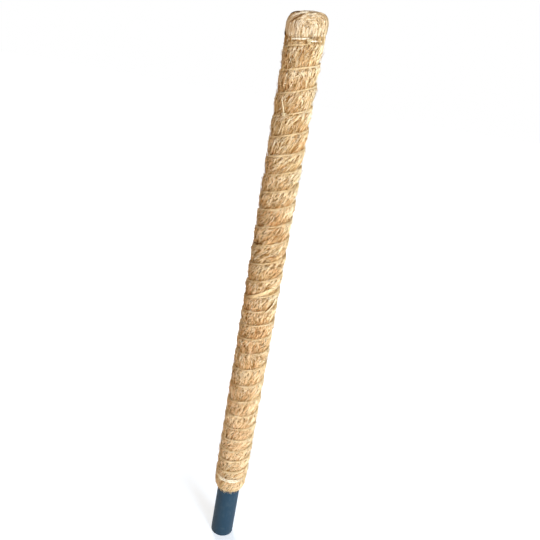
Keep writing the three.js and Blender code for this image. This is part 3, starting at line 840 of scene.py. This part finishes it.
def makeStrays(rng):
    count, step = strays["count"], stepsAlong(strays["points"])
    length = draw(rng, count, *strays["length"])
    climb = drawNormal(rng, count, *strays["climb"])
    climb = np.radians(climb + drawNormal(rng, count, 0, strays["bend"]) * step)
    angle = draw(rng, count, 0, fullTurn) + length * step * np.cos(climb) / strays["rollRadius"]
    height0 = draw(rng, count, *strays["starts"])
    height = np.clip(height0 + length * step * np.sin(climb), strays["lowest"], strays["highest"])
    flat = wrapRadius(angle, np.minimum(height, strays["wrapTop"]))[0]
    off = draw(rng, count, *strays["off"]) * np.where(height0 > strays["calmAbove"], strays["calm"], 1)
    radius = flat - strays["sunk"] + off * step
    thick = draw(rng, count, *strays["thick"]) * (1 - strays["thin"] * step)
    tone = drawNormal(rng, count, *strays["tone"]) + strays["paler"] * between(height0, *strays["paleIn"])
    strandMesh(onPole(angle, radius, height), thick, tone)
    addPiece("strayFibres", fibreMaterial, "coir")


def makeHem(rng):
    count, step = hem["count"], stepsAlong(hem["points"])
    angle = draw(rng, count, 0, fullTurn) + drawNormal(rng, count, 0, hem["lean"]) * step
    top = pole["bareFoot"] + draw(rng, count, *hem["top"])
    height = top - (top - pole["bareFoot"] + draw(rng, count, *hem["drop"]) - hem["short"]) * step
    flat = wrapRadius(angle, np.maximum(height, pole["bareFoot"]))[0]
    radius = np.maximum(flat - hem["inwards"] * step, pole["pipeRadius"] + hem["overPipe"])
    radius = radius + draw(rng, count, -hem["off"], hem["off"])
    radius = np.maximum(radius, pole["pipeRadius"] + hem["leastOverPipe"])
    thick = draw(rng, count, *hem["thick"]) * (1 - hem["thin"] * step)
    strandMesh(onPole(angle, radius, height), thick, drawNormal(rng, count, *hem["tone"]))
    addPiece("hemFibres", fibreMaterial, "coir")


makeStrays(np.random.default_rng(41))
makeHem(np.random.default_rng(43))
print("lips, bridges, strays and hem laid")


# crown: profile from the middle of the top, over the shoulder and down to its hem under the tie
crown = {"radius": 19.2, "corner": 10, "rise": 1, "sideShape": 3.2, "neckRadius": 16.3, "neckTop": 588.2,
         "hem": 582, "gathers": 9, "fold": 0.6, "foldFade": (610, 590), "puff": 1.2, "puffIn": (593, 605),
         "puffLeft": 0.05, "around": 144, "rows": 72, "wall": 2.2, "sunk": 0.6, "layRadius": 17}
# its fibres run up from the tie on one side, arch over and run down on the other, in rings about the front
arches = {"locks": 1650, "perLock": 3, "points": 7, "facing": (10, 9), "ringEnd": 0.06, "ringSpread": 0.03,
          "reach": (0.4, 0.9), "strandReach": (0.8, 1.1), "swing": (-2.6, 2.0),
          "tipToNeck": math.radians(116), "most": 1.12, "pastNeck": 2.5, "lift": (0, 0.6),
          "strandLift": 0.1, "sunk": 0.5, "raised": 0.3, "thick": (0.15, 0.26), "tone": (0.55, 0.14),
          "strandTone": 0.09, "liftShade": 0.25, "evenLift": 0.3, "rings": 21, "ringTone": 0.13,
          "neckShade": 0.12, "neckReach": 3, "frontLight": 0.04, "rightShade": 0.2, "rightShadeTurn": 0.1}


def crownProfile():
    corner, neckRadius, neckTop = crown["corner"], crown["neckRadius"], crown["neckTop"]
    inner = crown["radius"] - corner
    shoulder = pole["length"] - skew(math.pi / 2, inner) - corner / math.cos(pole["neckTilt"])
    dome = np.linspace(0, 1, 12)
    arc = np.linspace(np.pi / 2, 0, 14)[1:]
    side = np.linspace(1, 0, 16)[1:]
    swell = (1 - (1 - side) ** crown["sideShape"]) ** (1 / crown["sideShape"])
    radius = [inner * dome, inner + corner * np.cos(arc),
              neckRadius + (crown["radius"] - neckRadius) * swell, np.full(8, neckRadius)]
    height = [shoulder + corner + crown["rise"] * (1 - dome ** 2), shoulder + corner * np.sin(arc),
              neckTop + (shoulder - neckTop) * side, np.linspace(neckTop, crown["hem"], 9)[1:]]
    radius, height = np.concatenate(radius), np.concatenate(height)
    way = np.concatenate([[0], np.cumsum(np.hypot(np.diff(radius), np.diff(height)))])
    return way, radius, height


crownWay, crownRadii, crownHeights = crownProfile()
crownOut = -np.gradient(crownHeights, crownWay)
crownUp = np.gradient(crownRadii, crownWay)
neckWay = np.interp(-crown["neckTop"], -crownHeights, crownWay)


def onCrown(angle, way, lift):
    radius, height = np.interp(way, crownWay, crownRadii), np.interp(way, crownWay, crownHeights)
    # folds drawn in by the tie
    depth = between(height, crown["neckTop"] - 1, crown["neckTop"] + 1) * between(height, *crown["foldFade"])
    crease = (0.5 + 0.5 * np.cos(crown["gathers"] * angle + 1.2 * np.sin(2 * angle + 1))) ** 2
    lift = lift - crown["fold"] * depth * crease
    # the top is puffed up, more on the left
    left = np.clip(-np.sin(angle), 0, 1)
    puff = crown["puff"] * between(height, *crown["puffIn"]) * (1 + crown["puffLeft"] * radius * left)
    radius = radius + np.interp(way, crownWay, crownOut) * lift
    height = height + np.interp(way, crownWay, crownUp) * lift + puff
    return onPole(angle, radius, height + skew(angle, radius))


def makeCrownBed():
    cap, angle, share = flatSheet(crown["around"], crown["rows"])
    way = crownWay[-1] * share
    setLay(cap, onPole(angle, crown["layRadius"], way))
    closeSheet(cap, onCrown(angle, way, -crown["sunk"]), bore=False)
    wall = cap.modifiers.new("wall", "SOLIDIFY")
    wall.thickness = crown["wall"] * mm
    wall.offset = -1
    bpy.ops.object.modifier_apply(modifier="wall")
    addPiece("crownBed", crownBedMaterial, "coir", "crown_pad")


def crownPaths(rng):
    locks, each = arches["locks"], arches["perLock"]
    count, step = locks * each, stepsAlong(arches["points"])
    facing = perLock(np.radians(rng.normal(*arches["facing"], locks)), each)
    ring = perLock(rng.uniform(arches["ringEnd"], np.pi - arches["ringEnd"], locks), each)
    ring = ring + draw(rng, count, -arches["ringSpread"], arches["ringSpread"])
    offset = -np.cos(ring)
    reach = perLock(rng.uniform(*arches["reach"], locks), each) * draw(rng, count, *arches["strandReach"])
    swing = perLock(rng.uniform(*arches["swing"], locks), each) + reach * step
    arch = np.clip(swing, -np.pi / 2, np.pi / 2)
    ringRadius = np.sqrt(1 - offset ** 2)
    tip = np.arccos(np.clip(ringRadius * np.cos(arch), -1, 1)) + np.abs(swing - arch)
    angle = np.arctan2(ringRadius * np.sin(arch), -offset) + facing
    way = np.clip(tip / arches["tipToNeck"], 0, arches["most"]) * neckWay
    tuck = endTuck(step)
    lift = perLock(rng.uniform(*arches["lift"], locks), each)
    lift = lift + draw(rng, count, -arches["strandLift"], arches["strandLift"])
    raised = -arches["sunk"] + tuck * (arches["raised"] + lift)
    paths = onCrown(angle, np.minimum(way, neckWay + arches["pastNeck"]), raised)
    thick = drawThick(rng, count, arches["thick"], tuck)
    tone = perLock(rng.normal(*arches["tone"], locks), each) + drawNormal(rng, count, 0, arches["strandTone"])
    # painted shade: fibres lying deeper are darker, raised ones paler
    tone = tone + arches["liftShade"] * (lift - arches["evenLift"])
    # the arches show as paler and browner rings; painted shade darkens the neck and the right side, and
    # painted light makes the front and the left paler
    nearNeck = between(way, neckWay - arches["neckReach"], neckWay)
    tone = tone + arches["ringTone"] * np.sin(ring * arches["rings"]) - arches["neckShade"] * nearNeck
    tone = tone + arches["frontLight"] * np.cos(angle)
    tone = tone - arches["rightShade"] * np.sin(angle - arches["rightShadeTurn"])
    return paths, thick, tone


# a pale lock lies over the left shoulder between dark locks painted as the shade of its folds, and a dark
# lock paints the shade at the neck on that side:
# places as degrees and millimetres down from the middle of the top
shoulderLocks = {"paleLock": {"places": ((-74, 23.2), (-43, 17.8), (-6, 12.4)),
                              "strands": 44, "halfWidth": 0.65, "tone": 0.94},
                 "upperFoldShade": {"places": ((-104, 19.6), (-76, 15.6), (-40, 12.6)),
                               "strands": 26, "halfWidth": 1.0, "tone": 0.02},
                 "lowerFoldShade": {"places": ((-58, 25.4), (-33, 20.8), (-7, 16.4)),
                               "strands": 20, "halfWidth": 0.6, "tone": 0.16},
                 "leftNeckShade": {"places": ((-90, 28), (-82, 33), (-78, 38.5)),
                              "strands": 46, "halfWidth": 1.5, "tone": 0.03}}
shoulderLay = {"points": 8, "proud": 0.45, "off": (-0.2, 0.3), "dip": 1.2, "toneSpread": 0.05}


def makeCrown(rng):
    makeCrownBed()
    strandMesh(*crownPaths(rng))
    addPiece("crownFibres", crownMaterial, "coir")
    makeLocks(rng, "shoulderFibres", crownMaterial, shoulderLocks, shoulderLay, onCrown)


# loose ends that hang over the ties, and leave them bare towards the front
overTies = {"neck": {"count": 260, "height": pole["neck"], "tilted": 1, "bare": (-41, 34), "tone": 0.45},
            "foot": {"count": 240, "height": pole["footTie"], "tilted": 0, "bare": (-50, 50), "tone": 0.6}}
overTieLay = {"points": 7, "acrossBare": 0.06, "lean": 0.16, "top": (4, 9), "drop": (2.5, 8),
              "radius": 18.65, "off": (-0.1, 0.15), "dip": 1.4, "thick": (0.13, 0.22), "toneSpread": 0.18}


def makeOverTie(rng, end):
    tie, lay = overTies[end], overTieLay
    step = stepsAlong(lay["points"])
    angle = draw(rng, tie["count"], -180, 180)
    covered = (angle < tie["bare"][0]) | (angle > tie["bare"][1])
    covered = covered | (rng.uniform(0, 1, angle.shape) < lay["acrossBare"])
    angle = np.radians(angle[covered])[:, None]
    count = len(angle)
    angle = angle + drawNormal(rng, count, 0, lay["lean"]) * step
    top = tie["height"] + draw(rng, count, *lay["top"])
    height = top - (top - tie["height"] + draw(rng, count, *lay["drop"])) * step
    tuck = endTuck(step)
    radius = lay["radius"] + draw(rng, count, *lay["off"]) - lay["dip"] * (1 - tuck)
    thick = drawThick(rng, count, lay["thick"], tuck)
    paths = onPole(angle, radius, height + tie["tilted"] * skew(angle, radius))
    strandMesh(paths, thick, drawNormal(rng, count, tie["tone"], lay["toneSpread"]))
    addPiece(end + "TieFibres", fibreMaterial, "coir")


makeCrown(np.random.default_rng(23))
makeOverTie(np.random.default_rng(29), "neck")
makeOverTie(np.random.default_rng(47), "foot")
print("crown made")


# twine: two plies twisted together. The spiral is straw-coloured, and the ties are white
twine = {"ply": 0.42, "apart": 0.4, "twist": 5.2, "step": 0.75, "sides": 5, "perTurn": 160, "mapRows": 64,
         "tieSpacing": 2.2, "pliesDiffer": 0.07, "spiralTone": 0.6, "tieTone": 0.85, "pastEnd": 0.01}
# place of the knot that joins the two lengths of the spiral
joining = {"angle": math.radians(-24), "turn": 24, "clear": 4.75}
knotTurn = joining["turn"] + (joining["angle"] - spiral["start"]) / fullTurn
knotClear = joining["clear"] / (fullTurn * pole["twineLay"])


def pliesAlong(centre, size):
    steps = np.linalg.norm(np.diff(centre, axis=0), axis=1)
    way = np.concatenate([[0], np.cumsum(steps)])
    count = int(way[-1] / (twine["step"] * size)) + 2
    even = np.linspace(0, way[-1], count)
    centre = np.stack([np.interp(even, way, centre[:, axis]) for axis in range(3)], -1)
    along = np.gradient(centre, axis=0)
    along /= np.linalg.norm(along, axis=1, keepdims=True)
    out = centre * np.array([1, 1, 0])
    across = np.cross(along, out)
    across /= np.linalg.norm(across, axis=1, keepdims=True)
    out = np.cross(across, along)
    turn = even / (twine["twist"] * size) * fullTurn
    plies = []
    for start in (0, np.pi):
        lift = np.cos(turn + start)[:, None] * out + np.sin(turn + start)[:, None] * across
        plies.append(centre + lift * twine["apart"] * size)
    return np.array(plies)


def makeTwine(piece, node, centre, white, tone):
    plies = pliesAlong(centre, 1)
    thick = np.full(plies.shape[:2], twine["ply"])
    tones = np.array([[tone - twine["pliesDiffer"]], [tone + twine["pliesDiffer"]]])
    strandMesh(plies, thick, tones, white, twine["sides"], twine["mapRows"])
    addPiece(piece, twineMaterial, "twine", node)


def windingTurns(first, last):
    return np.linspace(first, last, int((last - first) * twine["perTurn"]) + 2)


def makeSpiral(piece, node, first, last):
    turns = windingTurns(first, last)
    centre = onPole(spiral["start"] + fullTurn * turns, pole["twineLay"], twineHeight(turns))
    makeTwine(piece, node, centre, white=0, tone=twine["spiralTone"])


def makeTie(piece, node, start, count, middle, tilted):
    turns = windingTurns(0, count)
    angle = start + fullTurn * turns
    height = middle + twine["tieSpacing"] * (turns - count / 2) + tilted * skew(angle, pole["twineLay"])
    makeTwine(piece, node, onPole(angle, pole["twineLay"], height), white=1, tone=twine["tieTone"])


makeSpiral("bindingTwineLower", "binding_twine_lower", -twine["pastEnd"], knotTurn - knotClear)
makeSpiral("bindingTwineUpper", "binding_twine_upper", knotTurn + knotClear, spiralTurns + twine["pastEnd"])
makeTie("neckTie", "neck_tie", spiral["end"], 1, pole["neck"], 1)
makeTie("footTie", "foot_tie", spiral["start"], 2, pole["footTie"], 0)
print("twine wound")


# knots: three lobes of twine drawn tight, with their tails
knots = {"reach": 0.75, "rise": 0.64, "strand": 0.75, "points": 90, "overlap": 1.02, "mapRows": 16,
         "pliesDiffer": 0.2, "longTail": (14, -0.3, 1.75), "shortTails": ((5, 0.35, -0.3), (5, -0.35, -0.3)),
         "joiningRadius": 18.0, "tieRadius": 20.04, "neckHeight": 585.6, "footHeight": 89.1}


def knotCentre(angle, radius, height, local):
    side = np.array([math.cos(angle), math.sin(angle), 0])
    out = np.array([math.sin(angle), -math.cos(angle), 0])
    up = np.array([0, 0, 1])
    spot = out * radius + up * height
    return spot + local[:, :1] * side + local[:, 1:2] * up + local[:, 2:] * out


def tailLine(length, lean, rise):
    step = np.linspace(0, 1, 24)[:, None]
    middle = np.array([lean * length * 0.4, math.copysign(length * 0.5, rise), 0.4 * abs(rise)])
    end = np.array([lean * length, math.copysign(length, rise), abs(rise)])
    return 2 * step * (1 - step) * middle + step ** 2 * end


def makeKnot(piece, node, angle, radius, height, tails, whiteTails, tone):
    turn = np.linspace(0, fullTurn * knots["overlap"], knots["points"])
    loops = np.stack([knots["reach"] * (np.sin(turn) + 2 * np.sin(2 * turn)),
                      knots["reach"] * (np.cos(turn) - 2 * np.cos(2 * turn)),
                      -knots["rise"] * np.sin(3 * turn)], -1)
    tones = np.array([[tone], [tone + knots["pliesDiffer"]]])
    parts = []
    for line, white in [(loops, 1)] + [(tailLine(*tail), whiteTails) for tail in tails]:
        plies = pliesAlong(knotCentre(angle, radius, height, line), knots["strand"])
        thick = np.full(plies.shape[:2], twine["ply"] * knots["strand"])
        parts.append(strandMesh(plies, thick, tones, white, twine["sides"], knots["mapRows"]))
    joinParts(parts)
    addPiece(piece, twineMaterial, "twine", node)


makeKnot("joiningKnot", "joining_knot", joining["angle"], knots["joiningRadius"],
         float(twineHeight(knotTurn)), [knots["longTail"]], whiteTails=1, tone=0.3)
makeKnot("neckKnot", "neck_knot", spiral["end"], knots["tieRadius"], knots["neckHeight"],
         knots["shortTails"], whiteTails=0, tone=0.12)
makeKnot("footKnot", "foot_knot", spiral["start"], knots["tieRadius"], knots["footHeight"],
         knots["shortTails"], whiteTails=0, tone=0.3)
print("knots tied")


# wad of loose coir in the mouth of the pipe
wad = {"radius": 10.8, "foot": 575.8, "top": 604, "sides": 40, "edge": 3, "edgeSteps": 4, "cuts": 2,
       "rough": 0.25}
wadLook = {"hasLay": False, "roughness": 0.9, "specular": 0.1, "bump": (1, 0.002),
           "grain": {"Coarse": 400, "Fine": 1800, "Stretch": 0.5}}
wadMaterial = coirMaterial("looseCoir", wadLook, ((0.1, "deep"), (0.6, "brown"), (0.95, "straw")))


def makeWad():
    depth = (wad["top"] - wad["foot"]) * mm
    bpy.ops.mesh.primitive_cylinder_add(vertices=wad["sides"], radius=wad["radius"] * mm, depth=depth,
                                        location=(0, 0, wad["foot"] * mm + depth / 2))
    bpy.ops.object.transform_apply(location=True, rotation=True, scale=True)
    bpy.ops.object.mode_set(mode="EDIT")
    bpy.ops.mesh.select_all(action="SELECT")
    bpy.ops.mesh.bevel(offset=wad["edge"] * mm, segments=wad["edgeSteps"], affect="EDGES")
    bpy.ops.mesh.subdivide(number_cuts=wad["cuts"])
    bpy.ops.transform.vertex_random(offset=wad["rough"] * mm, seed=5)
    bpy.ops.mesh.normals_make_consistent(inside=False)
    bpy.ops.object.mode_set(mode="OBJECT")
    bpy.ops.object.shade_smooth()
    addPiece("crownWad", wadMaterial, "loose_coir", "crown_wad")


makeWad()

print("pole finished")
